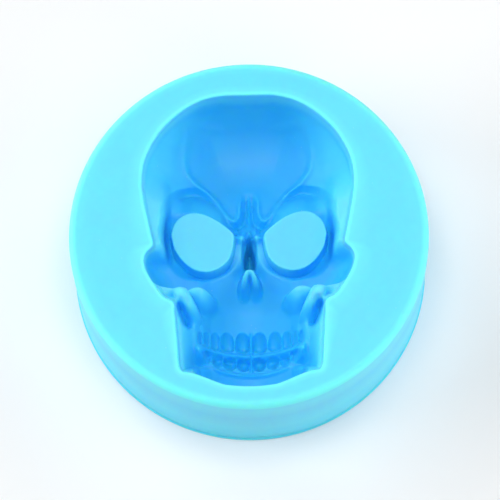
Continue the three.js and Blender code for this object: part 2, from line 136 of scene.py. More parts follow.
def near_line(line, closed, x, y):
    """Distance from each place to a line, and how far along the line its nearest point lies."""
    nearest = np.full(x.shape, np.inf)
    along = np.zeros(x.shape)
    last = len(line) if closed else len(line) - 1
    for i in range(last):
        start, end = line[i], line[(i + 1) % len(line)]
        way = end - start
        t = np.clip(((x - start[0]) * way[0] + (y - start[1]) * way[1]) / (way @ way), 0, 1)
        gap = np.hypot(x - start[0] - t * way[0], y - start[1] - t * way[1])
        closer = gap < nearest
        nearest[closer] = gap[closer]
        along[closer] = (i + t[closer]) / last
    return nearest, along


def inside(loop, x, y):
    """Distance in from a closed outline, negative outside it."""
    within = np.zeros(x.shape, bool)
    for i in range(len(loop)):
        (ax, ay), (bx, by) = loop[i], loop[(i + 1) % len(loop)]
        if ay != by:
            within ^= ((ay > y) != (by > y)) & (x < ax + (y - ay) * (bx - ax) / (by - ay))
    gap, _ = near_line(loop, True, x, y)
    return np.where(within, gap, -gap)


head_loop = curve_through(mirrored(HEAD_OUTLINE), True)


def rim_depth(edge):
    """How far the rounded edge of the top face has turned down at this distance in from the outline."""
    turned = np.clip(edge + RIM_ROUNDING, 0, RIM_ROUNDING)
    return RIM_ROUNDING - np.sqrt(RIM_ROUNDING**2 - turned**2)


# The bowl of the head and face. A low step goes down from the outline first. The forehead is a
# deep dome with a steep crown and gentler temples. The face below it is flatter, and its upper
# jaw stands out as a broad rounded muzzle between two flat sides of the jaw.
EDGE_STEP = 2
EDGE_STEP_WIDTH = 0.7
HEAD_DEPTH = 15.8
BROW_SHALLOWER = 3
# UP, DOWN and ACROSS, here and below, say between which two places, counted from the middle of
# the block, a form sets in or ends. Four numbers say where it sets in and where it ends.
BROW_UP = (4, 22)
HEAD_SLOPE = 16
HEAD_UP = (1, 8)
CROWN_SLOPE = 14
CROWN_UP = (12, 26)
CROWN_ACROSS = (6, 19)
DOME_BEND = (1.8, 2)  # at the temples and at the crown
DOME_FULLNESS = (0.85, 0.5)
TEMPLE_RISE = 0.62
TEMPLE_ACROSS = (15.5, 18)
TEMPLE_UP = (-4.5, -1, 5, 15)
FACE_DEPTH = 8.6
FACE_SLOPE = 4.5
CHIN_SLOPE = 2
CHIN_DOWN = (16, 24)
MUZZLE_DEPTH = 14.4
MUZZLE_HALF_WIDTH = 11.3
MUZZLE_SIDE_WIDTH = 3.4
MUZZLE_DOWN = (3, 14)
MUZZLE_ROUNDING = 0.045
JAW_EDGE_DEPTH = 1.6
JAW_EDGE_WIDTH = 0.5
JAW_SLOPE = (0.3, 3.6)  # how far in from the outline it starts and ends
JAW_DEPTH = 7
JAW_DOWN = (12, 16)
JAW_FOOT_DEEPER = 1.1
JAW_FOOT_DOWN = (19, 24)
JAW_ACROSS = (10, 11.5)


def span(v, start, full, fading, end):
    """1 where v lies in a span, with a smooth step up before it and down after it."""
    return smooth(v, start, full) * (1 - smooth(v, fading, end))


def bell(v, width):
    return np.exp(-((v / width) ** 2))


def bowl(edge, width):
    """A slope that leaves the edge steeply and levels out after the given width."""
    t = 1 - np.clip(edge / width, 0, 1)
    return np.sqrt(1 - t * t)


def head_and_face(x, y, edge):
    crown = smooth(y, *CROWN_UP) * (1 - smooth(x, *CROWN_ACROSS))
    t = np.clip(edge / mix(HEAD_SLOPE, CROWN_SLOPE, crown), 0, 1)
    dome = (1 - (1 - t) ** mix(*DOME_BEND, crown)) ** mix(*DOME_FULLNESS, crown)
    middle = HEAD_DEPTH - BROW_SHALLOWER * (1 - smooth(y, *BROW_UP))
    head = EDGE_STEP * smooth(edge, 0, EDGE_STEP_WIDTH) + (middle - EDGE_STEP) * dome
    face = FACE_DEPTH * bowl(edge, mix(FACE_SLOPE, CHIN_SLOPE, smooth(-y, *CHIN_DOWN)))
    depth = mix(face, head, smooth(y, *HEAD_UP))
    return depth * (1 - TEMPLE_RISE * smooth(x, *TEMPLE_ACROSS) * span(y, *TEMPLE_UP))


def muzzle(x, y, depth):
    level = MUZZLE_DEPTH - MUZZLE_ROUNDING * x * x
    share = smooth(MUZZLE_HALF_WIDTH - x, 0, MUZZLE_SIDE_WIDTH) * smooth(-y, *MUZZLE_DOWN)
    return mix(depth, np.maximum(depth, level), share)


def jaw_side(x, y, edge, depth):
    inner = JAW_DEPTH + JAW_FOOT_DEEPER * smooth(-y, *JAW_FOOT_DOWN)
    level = mix(JAW_EDGE_DEPTH, inner, smooth(edge, *JAW_SLOPE)) * smooth(edge, 0, JAW_EDGE_WIDTH)
    return mix(depth, level, smooth(x, *JAW_ACROSS) * smooth(-y, *JAW_DOWN))


# Eyes and brow: each eye socket of the cake is left by a flat-topped island of rubber. A narrow
# moat runs round its foot, and above it the floor climbs from a groove under the frowning brow.
# A thin raised line follows the brow and turns up along the temple.
EYE_DEPTH = 5.8
EYE_OUTLINE = [
    (3.04, 0.84), (3.44, 1.75), (5.06, 3.22), (7.09, 4.64), (9.11, 5.6), (11.14, 5.96),
    (13.16, 5.5), (14.89, 3.98), (15.7, 1.75), (15.59, 0.23), (14.99, -1.99), (13.47, -4.22),
    (11.54, -5.84), (9.62, -6.5), (7.8, -6.45), (5.77, -5.64), (4.25, -4.22), (3.44, -2.3),
    (3.09, -0.27),
]
SOCKET_OUTLINE = [
    (18.05, -0.21), (17.85, 3.13), (17.3, 5.98), (16.33, 9), (15.15, 11.3), (13.34, 12.4),
    (12.02, 12.8), (10.59, 12.8), (8.75, 11.8), (6.18, 9.6), (4.74, 7.9), (4.12, 6.6),
    (2.99, 5.4), (1.9, 4.6), (2.1, 2.4), (4, 1.2), (8, 2), (13, 1), (17, -1.4),
]
FOREHEAD_OUTLINE = [
    (1.54, 24), (1.54, 13.35), (1.65, 11.29), (1.8, 9.23), (1.9, 7.5), (2.3, 6.4), (3.15, 5.7),
    (4, 6.3), (5.15, 8.1), (6.18, 9.65), (8.24, 11.9), (10.5, 13.65), (11.73, 14.89),
    (12.65, 16.27), (13.01, 18.33), (12.87, 20.55), (12.26, 22.78), (11.15, 25.19),
]
ISLAND_EDGE = 0.1
ISLAND_FOOT = 0.4
MOAT_DEPTH = 10.1
MOAT_LEAST_WIDTH = 0.08
MOAT_INNER_WIDTH = 0.35
MOAT_NARROW_ACROSS = (2, 5)
MOAT_OUTER_ACROSS = (10, 15)
MOAT_BANK = 1.3
MOAT_TOP_BANK = 2
MOAT_TOP_UP = (2, 6)
MOAT_TOP_ACROSS = (15.6, 17.4)
BROW_SIDE_ACROSS = (6, 15)
BROW_STARTS_UP = (-1.5, 4.5)  # at the nose and at the temple
BROW_FULL_UP = (2, 8.5)
BROW_DEPTH = 8
BROW_FALL = 0.75
BROW_TEMPLE_ACROSS = (12, 17)
BROW_TEMPLE_FLATTER = 0.7
BROW_BANK_START = 0.5
BROW_BANK_WIDER = 0.6
BROW_BANK_ACROSS = (8, 12)
LINE_RISE = 0.75
LINE_WIDTH = 0.65
LINE_STARTS_ACROSS = (-0.6, 0.8)
LINE_ENDS_UP = (9, 13)  # beside the nose
LINE_FADES_UP = (14, 21)  # along the temple, by this share
LINE_FADES_BY = 0.7
LINE_TEMPLE_ACROSS = (4, 7)
FROWN_CUT = 1.6
FROWN_AWAY = 1.3
FROWN_WIDTH = 0.9
FROWN_ENDS_ACROSS = (3.5, 6)
GROOVE_CUT = 1.9
GROOVE_AWAY = 0.5
GROOVE_WIDTH = 1.7
BROW_MOAT_CUT = 1.2
BROW_MOAT_WIDTH = 0.8
BROW_MOAT_ACROSS = (8, 14)

eye_loop = curve_through(EYE_OUTLINE, True)
socket_loop = curve_through(SOCKET_OUTLINE, True)
forehead_loop = curve_through(FOREHEAD_OUTLINE, True)


def upper_side(x, y):
    """How far a place beside the island belongs to the brow, and not to the moat below it."""
    outer = smooth(x, *BROW_SIDE_ACROSS)
    return smooth(y, mix(*BROW_STARTS_UP, outer), mix(*BROW_FULL_UP, outer))


def socket(x, y, from_island, depth):
    outer = smooth(x, *MOAT_OUTER_ACROSS)
    width = MOAT_LEAST_WIDTH + MOAT_INNER_WIDTH * (1 - smooth(x, *MOAT_NARROW_ACROSS))
    top = smooth(y, *MOAT_TOP_UP) * (1 - smooth(x, *MOAT_TOP_ACROSS))
    bank = MOAT_BANK * (1 + outer * (1 + MOAT_TOP_BANK * top))
    moat = mix(MOAT_DEPTH, depth, smooth(from_island, width, width + bank))
    within = inside(socket_loop, x, y)
    temple = smooth(x, *BROW_TEMPLE_ACROSS)
    groove = GROOVE_CUT * np.exp(-np.clip(within - GROOVE_AWAY, 0, None) / GROOVE_WIDTH) * (1 - temple)
    thin_moat = BROW_MOAT_CUT * bell(from_island, BROW_MOAT_WIDTH) * smooth(x, *BROW_MOAT_ACROSS)
    floor = BROW_DEPTH + BROW_FALL * from_island * (1 - BROW_TEMPLE_FLATTER * temple) + groove + thin_moat
    bank_width = 1 + BROW_BANK_WIDER * smooth(x, *BROW_BANK_ACROSS)
    brow = mix(depth, floor, np.clip((within + BROW_BANK_START) / bank_width, 0, 1))
    return mix(moat, brow, upper_side(x, y))


def brow_line(x, y, depth):
    below = -inside(forehead_loop, x, y)
    line = LINE_RISE * bell(below, LINE_WIDTH)
    groove = FROWN_CUT * bell(below - FROWN_AWAY, FROWN_WIDTH) * (1 - smooth(x, *FROWN_ENDS_ACROSS))
    faded = LINE_FADES_BY * smooth(y, *LINE_FADES_UP)
    fading = 1 - mix(smooth(y, *LINE_ENDS_UP), faded, smooth(x, *LINE_TEMPLE_ACROSS))
    return depth + (groove - line) * fading * smooth(x, *LINE_STARTS_ACROSS)


# The nose: the deepest part of the hollow is a narrow pit behind the nose bone, which widens
# downwards and ends square, with a raised dot on each side towards the eye. The nose opening of
# the cake is left by a raised heart of rubber with a groove down its middle.
BONE_PROUD = 2
BONE_HALF_WIDTH = 2.4
BONE_DOWN = (-8, -4, 6, 9)
PIT_DEPTH = 17.4
PIT_DOWN = (-1.8, 0.4, 4.35, 4.85)
PIT_HALF_WIDTH = 0.6
PIT_WIDENING = 0.2
PIT_LEAST_HALF_WIDTH = 0.15
PIT_MOST_HALF_WIDTH = 1.2
NASAL_SIDE_DEPTH = 8.6
NASAL_SIDE_INNER = 1.35
NASAL_SIDE_SLOPE = (-0.5, 0.45)
NASAL_SIDE_ENDS_ACROSS = (3.5, 5)
NASAL_SIDE_UP = (-6.5, -2, 1, 2.8)
TEAR = (1.6, 1, 0.75, 0.8)  # place of a round hill across and up, and its half widths
TEAR_RISE = 1.4
TEAR_INNER = 0.8
TEAR_INNER_WIDTH = 0.9
NASION = (0, 2, 0.5, 0.9)
NASION_RISE = 2.6
NOSE_OUTLINE = [
    (0, -5.54), (0.82, -5.74), (1.38, -6.47), (1.89, -7.6), (2.25, -8.96), (2.15, -10.41),
    (1.85, -11.35), (1.03, -11.83), (0, -11.94),
]
NOSE_DEPTH = 6.3
NOSE_FALL = 0.18
NOSE_TOP_DOWN = 5.2
NOSE_SLOPE = (-0.5, 0.6)  # how far out and in from its outline it rises
NOSE_ENDS_DOWN = (9, 11.8)
SEPTUM_CUT = 1.8
SEPTUM_WIDTH = (0.3, 0.6)  # at its top and at its foot
SEPTUM_WIDENS_DOWN = (7, 11)
SEPTUM_DOWN = (6.2, 8)
nose_loop = curve_through(mirrored(NOSE_OUTLINE), True)


def hill(x, y, cx, cy, rx, ry):
    """A round hill of height 1."""
    return np.exp(-(((x - cx) / rx) ** 2) - ((y - cy) / ry) ** 2)


def nose_bone(x, y, depth):
    bone = depth + BONE_PROUD * bell(x, BONE_HALF_WIDTH) * span(-y, *BONE_DOWN)
    half_width = PIT_HALF_WIDTH - PIT_WIDENING * y
    half_width = np.clip(half_width, PIT_LEAST_HALF_WIDTH, PIT_MOST_HALF_WIDTH)
    roundness = np.sqrt(np.clip(1 - (x / half_width) ** 2, 0, 1))
    cut = mix(bone, np.maximum(bone, PIT_DEPTH), roundness * span(-y, *PIT_DOWN))
    inner = mix(NASAL_SIDE_INNER, TEAR_INNER, bell(y - TEAR[1], TEAR_INNER_WIDTH))
    side = smooth(x - inner, *NASAL_SIDE_SLOPE) * (1 - smooth(x, *NASAL_SIDE_ENDS_ACROSS))
    level = NASAL_SIDE_DEPTH - TEAR_RISE * hill(x, y, *TEAR)
    cut = mix(cut, np.minimum(cut, level), side * span(y, *NASAL_SIDE_UP))
    return cut - NASION_RISE * hill(x, y, *NASION)


def nose_island(x, y, depth):
    septum_width = mix(*SEPTUM_WIDTH, smooth(-y, *SEPTUM_WIDENS_DOWN))
    septum = SEPTUM_CUT * bell(x, septum_width) * smooth(-y, *SEPTUM_DOWN)
    level = NOSE_DEPTH + NOSE_FALL * np.clip(-y - NOSE_TOP_DOWN, 0, None) ** 2 + septum
    share = smooth(inside(nose_loop, x, y), *NOSE_SLOPE) * (1 - smooth(-y, *NOSE_ENDS_DOWN))
    return mix(depth, np.minimum(depth, level), share)


# Under each cheek bone the cake is hollow, which leaves a low swelling beside the muzzle, a web
# under the end of the cheek bone and a tall slanted post next to the jaw, with a slot outside it.
HOLLOW_OUTLINE = [
    (13.14, -10.52), (12.53, -10.42), (11.32, -9.96), (10.11, -9.86), (8.7, -10.18),
    (7.61, -10.71), (6.4, -11.9), (5.4, -14), (6, -17), (9, -18.5), (12.5, -17.5), (13.2, -13),
]
WING_OUTLINE = [
    (21.64, -9.16), (18.62, -9.96), (17.11, -10.32), (15.1, -10.67), (13.59, -10.77),
    (13.08, -11.57), (13.69, -12.78), (14.29, -13.89), (15.6, -14.59), (18.12, -14.59),
    (21.64, -12.18),
]
POST_LINE = [
    (13.7, -11.8), (13.1, -12.6), (12.4, -13.6), (11.7, -14.6), (11.1, -15.7), (10.7, -17),
]
SLOT_LINE = [(14.2, -13.3), (14, -14.2), (13.6, -15.5), (13, -16.8), (12.1, -18.4)]
HOLLOW_DEPTH = 3.7
HOLLOW_FALL = 0.3
HOLLOW_SIDE_FALL = 0.6
HOLLOW_FALLS_FROM = 10.2  # both down and towards the middle
HOLLOW_BLEND = 1.5
HOLLOW_SLOPE = (-0.5, 0.6)
WING_DEPTH = 1.3
WING_EDGE_WIDTH = 0.9
WING_DENT = (15.3, -12.3, 1.5, 0.8)
WING_SLOPE = (-0.5, 0.5)
POST_DEPTH = 0.8
POST_FALL = 6.5
POST_WIDTH = 1.6
POST_NARROWS_BY = 0.4
POST_SQUARENESS = 2.6
POST_FADES = (0.55, 1)  # as a share of its length
SLOT_CUT = 3.8
SLOT_WIDTH = 0.8
SLOT_TOP_WIDTH = 0.6  # as a share of the width at its foot
SLOT_SPAN = (-0.1, 0.6, 0.75, 1)

hollow_loop = curve_through(HOLLOW_OUTLINE, True)
wing_loop = curve_through(WING_OUTLINE, True)
post_line = curve_through(POST_LINE, False)
slot_line = curve_through(SLOT_LINE, False)


def cheek_hollow(x, y, depth):
    level = HOLLOW_DEPTH + HOLLOW_FALL * np.clip(-y - HOLLOW_FALLS_FROM, 0, None) ** 2
    level = level + HOLLOW_SIDE_FALL * np.clip(HOLLOW_FALLS_FROM - x, 0, None) ** 2
    raised = (depth + level - np.hypot(depth - level, HOLLOW_BLEND)) / 2
    return mix(depth, raised, smooth(inside(hollow_loop, x, y), *HOLLOW_SLOPE))


def wing(x, y, edge, depth):
    level = (WING_DEPTH + hill(x, y, *WING_DENT)) * np.clip(edge / WING_EDGE_WIDTH, 0, 1)
    return mix(depth, np.minimum(depth, level), smooth(inside(wing_loop, x, y), *WING_SLOPE))


def post_and_slot(x, y, depth):
    post, post_along = near_line(post_line, False, x, y)
    slot, slot_along = near_line(slot_line, False, x, y)
    width = POST_WIDTH - POST_NARROWS_BY * post_along
    roundness = np.clip(1 - (post / width) ** POST_SQUARENESS, 0, 1)
    roundness = roundness * (1 - smooth(post_along, *POST_FADES))
    top = POST_DEPTH + POST_FALL * post_along**2
    raised = np.minimum(depth, mix(depth, top, np.sqrt(roundness)))
    slot_width = SLOT_WIDTH * mix(SLOT_TOP_WIDTH, 1, slot_along)
    return raised + SLOT_CUT * bell(slot, slot_width) * span(slot_along, *SLOT_SPAN)


# The teeth are shallow dents in the muzzle, one for each tooth, with a raised line where the two
# rows bite and another down the middle. Outside the last tooth the corner of the mouth is a
# raised dot, with a pit below it at the side of the chin.
TOOTH_CUT = 2.2
TOOTH_LEAN = 0.6
TOOTH_TAPER = 0.35
TOOTH_SQUARENESS = (2.4, 3)  # across and up
TOOTH_ROUNDNESS = 0.75
BACK_TEETH_SHALLOWER = 0.045  # for each millimetre away from the middle
UPPER_TEETH = [  # distance from the middle, half width, height on the face and half height
    (1.72, 1.5, -19.3, 2.2), (4.85, 1.4, -19.35, 2.1), (7.2, 1.0, -19.5, 1.95),
    (8.85, 0.75, -19.5, 1.7), (10.15, 0.6, -19.5, 1.4),
]
LOWER_TEETH = [
    (1.6, 1.35, -24, 1.3), (4.35, 1.35, -23.9, 1.25), (6.8, 1.1, -23.6, 1.15),
    (8.7, 0.85, -23.1, 1.15),
]
BITE_LINE = -22.35
BITE_CURVE = 0.01
BITE_RISE = 0.8
BITE_WIDTH = 0.42
BITE_ENDS_ACROSS = (8.6, 10)
MIDDLE_RISE = 0.5
MIDDLE_WIDTH = 0.28
MIDDLE_DOWN = (17, 18, 25.3, 26)
MOUTH_CORNER = (10.3, -22.3, 0.9, 1.2)
MOUTH_CORNER_RISE = 2.4
CHIN_PIT = (10.2, -24.7, 1.5, 0.8)
CHIN_PIT_CUT = 2.2
CHIN_FOLD = -26.3
CHIN_CURVE = 0.02
CHIN_RISE = 0.5
CHIN_WIDTH = 0.4
CHIN_ENDS_ACROSS = (6.5, 9)


def tooth_row(row, x, y, lean):
    cut = 0
    side_power, end_power = TOOTH_SQUARENESS
    for middle, half_width, centre, half_height in row:
        up = (y - centre) / half_height
        across = (x - middle) / (half_width * (1 + TOOTH_TAPER * lean * up))
        dent = 1 - np.abs(across) ** side_power - np.abs(up) ** end_power
        dent = np.clip(dent, 0, 1) ** TOOTH_ROUNDNESS
        tooth_cut = TOOTH_CUT * (1 - BACK_TEETH_SHALLOWER * middle)
        cut = np.maximum(cut, tooth_cut * (1 + lean * up) * dent)
    return cut


def mouth(x, y, depth):
    bite = BITE_RISE * bell(y - BITE_LINE - BITE_CURVE * x * x, BITE_WIDTH)
    bite = bite * (1 - smooth(x, *BITE_ENDS_ACROSS))
    middle = MIDDLE_RISE * bell(x, MIDDLE_WIDTH) * span(-y, *MIDDLE_DOWN)
    corner = MOUTH_CORNER_RISE * hill(x, y, *MOUTH_CORNER)
    pit = CHIN_PIT_CUT * hill(x, y, *CHIN_PIT)
    fold = CHIN_RISE * bell(y - CHIN_FOLD - CHIN_CURVE * x * x, CHIN_WIDTH)
    fold = fold * (1 - smooth(x, *CHIN_ENDS_ACROSS))
    teeth = tooth_row(UPPER_TEETH, x, y, -TOOTH_LEAN) + tooth_row(LOWER_TEETH, x, y, TOOTH_LEAN)
    return depth + teeth + pit - bite - middle - corner - fold


# The floor of the hollow: one skin of the same rubber, whose right half is drawn and mirrored.
# Each form is laid over the ones before it, and the flat tops of the eye islands come last.
def depth_at(px, y):
    """How far the rubber lies below the top face, in millimetres."""
    x = np.abs(px)
    edge = inside(head_loop, x, y)
    eye = inside(eye_loop, x, y)
    depth = head_and_face(x, y, edge)
    depth = muzzle(x, y, depth)
    depth = jaw_side(x, y, edge, depth)
    from_island = np.clip(-eye, 0, None)
    depth = socket(x, y, from_island, depth)
    depth = brow_line(x, y, depth)
    depth = nose_bone(x, y, depth)
    depth = nose_island(x, y, depth)
    depth = cheek_hollow(x, y, depth)
    depth = wing(x, y, edge, depth)
    depth = post_and_slot(x, y, depth)
    depth = mouth(x, y, depth)
    depth = mix(depth, EYE_DEPTH, smooth(eye, -ISLAND_FOOT, ISLAND_EDGE))
    return rim_depth(edge) + (depth - RIM_ROUNDING) * smooth(edge, 0, RIM_FOOT_WIDTH)


# How open each place in the hollow is, from 0 in a deep slot to 1 on the top face: the share of
# the sky that it sees, less a little for its depth. The rubber's colour is painted from it as
# painted shade, darker and a stronger blue where a place sees less sky and lies deeper.
SKY_STEP = 0.3
SKY_HALF_WIDTH = 24
SKY_HALF_LENGTH = 33
SKY_DIRECTIONS = 24
SKY_NEAR = [SKY_STEP * step for step in range(1, 21)]
SKY_FAR = [SKY_NEAR[-1] + 2 * SKY_STEP * step for step in range(1, 31)]
# The painted shade also deepens with the depth below the top face.
PAINTED_SHADE_BY_DEPTH = 0.012
# Painted glow: the colour is painted paler along the hollow's outline, along the block's top edge and in the
# top few millimetres of the hollow, and a little darker everywhere else.
PAINTED_EDGE_GLOW = 0.1
PAINTED_EDGE_GLOW_WIDTH = 0.8
PAINTED_EDGE_GLOW_INSET = 0.6  # in from where the wall and the top face would meet
PAINTED_GLOW_BELOW_FACE = (3, 0.5)
PAINTED_GLOW_SHARE = 0.6
# The outer wall is painted darker towards its foot, as painted shade near the floor; this is its place on
# the colour ramp there.
WALL_FOOT_PAINTED_SHADE_LEVEL = 0.6


def sky_map():
    columns = int(2 * SKY_HALF_WIDTH / SKY_STEP) + 1
    rows = int(2 * SKY_HALF_LENGTH / SKY_STEP) + 1
    column_x = (np.arange(columns) - columns // 2) * SKY_STEP
    x, y = np.meshgrid(column_x, (np.arange(rows) - rows // 2) * SKY_STEP)
    right_half = x[0] >= 0
    half = depth_at(x[:, right_half], y[:, right_half])
    depth = np.concatenate([half[:, :0:-1], half], 1)
    row, column = np.indices(depth.shape)
    seen = 0
    for k in range(SKY_DIRECTIONS):
        angle = 2 * math.pi * k / SKY_DIRECTIONS
        steepest = np.zeros(depth.shape)
        for reach in SKY_NEAR + SKY_FAR:
            r = np.clip(row + round(reach * math.sin(angle) / SKY_STEP), 0, rows - 1)
            c = np.clip(column + round(reach * math.cos(angle) / SKY_STEP), 0, columns - 1)
            steepest = np.maximum(steepest, (depth - depth[r, c]) / reach)
        seen = seen + (1 - steepest / np.sqrt(1 + steepest**2)) / SKY_DIRECTIONS
    for axis in (0, 1):
        seen = (np.roll(seen, 1, axis) + 2 * seen + np.roll(seen, -1, axis)) / 4
    return seen - PAINTED_SHADE_BY_DEPTH * depth


def sky_seen(x, y):
    seen = sky_map()
    column = np.clip(x / SKY_STEP + seen.shape[1] // 2, 0, seen.shape[1] - 1.001)
    row = np.clip(y / SKY_STEP + seen.shape[0] // 2, 0, seen.shape[0] - 1.001)
    c, r = column.astype(int), row.astype(int)
    near = mix(seen[r, c], seen[r, c + 1], column - c)
    return mix(near, mix(seen[r + 1, c], seen[r + 1, c + 1], column - c), row - r)


def painted_shade_and_glow_at(points):
    """The painted shade of points of the skin, with a painted glow along its thin edges."""
    x, y, z = points.T
    wall_top = height - TOP_EDGE_RADIUS
    wall = mix(WALL_FOOT_PAINTED_SHADE_LEVEL, 1, smooth(z, 0, wall_top)) - PAINTED_EDGE_GLOW
    from_hollow = -inside(head_loop, np.abs(x), y)
    from_outer_edge = np.abs(top_radius - PAINTED_EDGE_GLOW_INSET - np.hypot(x, y))
    edge = np.minimum(np.clip(from_hollow, 0, None), from_outer_edge)
    top = 1 - PAINTED_EDGE_GLOW * (1 - bell(edge, PAINTED_EDGE_GLOW_WIDTH))
    glow_foot, glow_top = PAINTED_GLOW_BELOW_FACE
    shallow = smooth(z, height - glow_foot, height - glow_top)
    hollow = mix(np.minimum(sky_seen(x, y), 1) * (1 - PAINTED_EDGE_GLOW), 1, PAINTED_GLOW_SHARE * shallow)
    in_hollow = (z > height / 4) & (from_hollow < 0)
    return np.where(in_hollow, hollow, np.where(z > wall_top, top, wall))


# The skin of the whole mould: rings of points from the middle of the base, out and up the wall,
# over the top face and down into the hollow to its middle. Points are halved in number towards
# the middle, so that the faces stay of one size.
SIDES = 960
OUTSIDE_SIDES = 240
HOLLOW_RINGS = 170
FIRST_PLAIN_RING = 3
HALVED_WITHIN = (0.5, 0.25, 0.1)  # as shares of the way out to the outline
TOP_FACE_INSET = 0.25
TOP_FACE_SHARES = (0.75, 0.5, 0.25)
RIM_OFFSETS = (  # fine rings close to the rounded edge, out from the outline and then in
    0.9, 0.6, 0.45, 0.36, 0.28, 0.2, 0.13, 0.07, 0.02, -0.04, -0.1, -0.18, -0.28, -0.4,
)
SHARP_ANGLE = math.radians(50)


def circle(radius, z, sides):
    angle = 2 * math.pi * np.arange(sides) / sides
    return np.stack([radius * np.cos(angle), radius * np.sin(angle), np.full(sides, z)], 1)


def outline_reach(sides):
    """How far the hollow's outline lies from the middle in each direction."""
    turn = np.arctan2(head_loop[:, 1], head_loop[:, 0])
    order = np.argsort(turn)
    reach = np.hypot(head_loop[:, 0], head_loop[:, 1])[order]
    angle = 2 * math.pi * np.arange(sides) / sides
    return np.interp(angle, turn[order], reach, period=2 * math.pi)


def hollow_ring(share, offset, sides):
    """A ring at this share of the way out to the outline, moved by an offset, at the hollow's depth."""
    angle = 2 * math.pi * np.arange(sides) / sides
    reach = outline_reach(sides) * share + offset
    x = reach * np.cos(angle)
    y = reach * np.sin(angle)
    return np.stack([x, y, height - depth_at(x, y)], 1)


def skin_rings():
    rings = [circle(radius, z, OUTSIDE_SIDES) for radius, z in block_profile()[1:]]
    flat_edge = top_radius - TOP_EDGE_RADIUS
    rings.append(circle(flat_edge - TOP_FACE_INSET, height, SIDES // 2))
    angle = 2 * math.pi * np.arange(SIDES) / SIDES
    reach = outline_reach(SIDES)
    for share in TOP_FACE_SHARES:
        radius = mix(reach + 1, flat_edge, share)
        rings.append(np.stack([radius * np.cos(angle), radius * np.sin(angle), np.full(SIDES, height)], 1))
    for offset in RIM_OFFSETS:
        rings.append(hollow_ring(1, offset, SIDES))
    for step in range(FIRST_PLAIN_RING, HOLLOW_RINGS):
        share = 1 - step / HOLLOW_RINGS
        halvings = sum(share <= limit for limit in HALVED_WITHIN)
        rings.append(hollow_ring(share, 0, SIDES // 2**halvings))
    return rings


def stitch(outer, inner, outer_start, inner_start):
    """Faces between two rings, of which the inner has as many points as the outer, half or twice."""
    faces = []
    if outer == inner:
        for i in range(outer):
            j = (i + 1) % outer
            faces.append((outer_start + i, outer_start + j, inner_start + j, inner_start + i))
        return faces
    few, few_start, many_start = min(outer, inner), inner_start, outer_start
    if inner > outer:
        few_start, many_start = outer_start, inner_start
    for i in range(few):
        j = (i + 1) % few
        a, b, c = many_start + 2 * i, many_start + 2 * i + 1, many_start + (2 * i + 2) % (2 * few)
        fan = [(few_start + i, a, b), (few_start + i, b, few_start + j), (few_start + j, b, c)]
        faces += fan if outer > inner else [face[::-1] for face in fan]
    return faces


def mould_mesh():
    rings = skin_rings()
    starts = np.cumsum([1] + [len(ring) for ring in rings])
    centre = np.array([[0, 0, height - depth_at(np.zeros(1), np.zeros(1))[0]]])
    vertices = np.concatenate([np.zeros((1, 3)), *rings, centre]) * MM
    faces = [(0, 1 + (i + 1) % OUTSIDE_SIDES, 1 + i) for i in range(OUTSIDE_SIDES)]
    for k in range(len(rings) - 1):
        faces += stitch(len(rings[k]), len(rings[k + 1]), starts[k], starts[k + 1])
    last = len(rings[-1])
    faces += [(starts[-2] + i, starts[-2] + (i + 1) % last, starts[-1]) for i in range(last)]
    mesh = bpy.data.meshes.new("mould_skin")
    mesh.from_pydata(vertices.tolist(), [], [tuple(int(i) for i in face) for face in faces])
    mesh.shade_smooth()
    mesh.set_sharp_from_angle(angle=SHARP_ANGLE)
    # Each point carries its painted shade and painted glow, as a place on the colour ramp.
    mesh.attributes.new("painted_shade_and_glow", "FLOAT", "POINT").data.foreach_set("value", painted_shade_and_glow_at(vertices / MM))
    return mesh


# Silicone rubber, pigmented sky blue and moulded against a bead-blasted tool, which leaves a satin
# skin that light enters for a millimetre or two. Its colour also holds painted shade: deep corners
# and places that see little sky are painted a darker, stronger blue.
def linear(code):
    """An sRGB hex colour as linear red, green and blue with full alpha."""
    parts = [int(code[i : i + 2], 16) / 255 for i in (1, 3, 5)]
    return [p / 12.92 if p <= 0.04045 else ((p + 0.055) / 1.055) ** 2.4 for p in parts] + [1]


def add_node(tree, kind, settings=None, **links):
    """Adds a node, sets its properties and fixed inputs, and links the inputs that are given as sockets."""
    node = tree.nodes.new(kind)
    for name, value in (settings or {}).items():
        if name in node.inputs:
            node.inputs[name].default_value = value
        else:
            setattr(node, name, value)
    for name, socket_out in links.items():
        tree.links.new(socket_out, node.inputs[name.replace("_", " ")])
    return node


PAINTED_SHADE_TINTS = [  # how open a place is, and the colour there, painted darker as painted shade where less sky is seen
    (0.0, "#2CC8FF"), (0.18, "#2EC0FF"), (0.25, "#2DBAFF"), (0.35, "#3CC6FF"), (0.45, "#54D7FF"),
    (0.63, "#62DCFE"), (0.81, "#5ED3FC"), (0.9, "#65DFFD"), (1.0, "#78FAFE"),
]
# The pigment is stirred in and leaves faint clouds, and the skin's gloss varies with them.
CLOUD_SIZE = 7 * MM
CLOUD_STRENGTH = 0.04
SATIN = (0.42, 0.58)
# The tacky skin holds pale crumbs of dust under 0.1 mm wide, drawn larger so that they show.
DUST_SPACING = 2.6 * MM
DUST_SIZE = 0.12 * MM
DUST_COLOUR = "#D9F6FB"
DUST_STRENGTH = 0.35
# The bead-blasted grain is about 0.1 mm wide, too fine to show, and is drawn coarser.
GRAIN_SIZE = 0.35 * MM
GRAIN_HEIGHT = 0.03 * MM
GRAIN_STRENGTH = 0.25
SILICONE_IOR = 1.41
LIGHT_ENTERS = 0.7
LIGHT_DEPTH = 3 * MM
LIGHT_DEPTH_BY_COLOUR = (0.12, 0.4, 1)


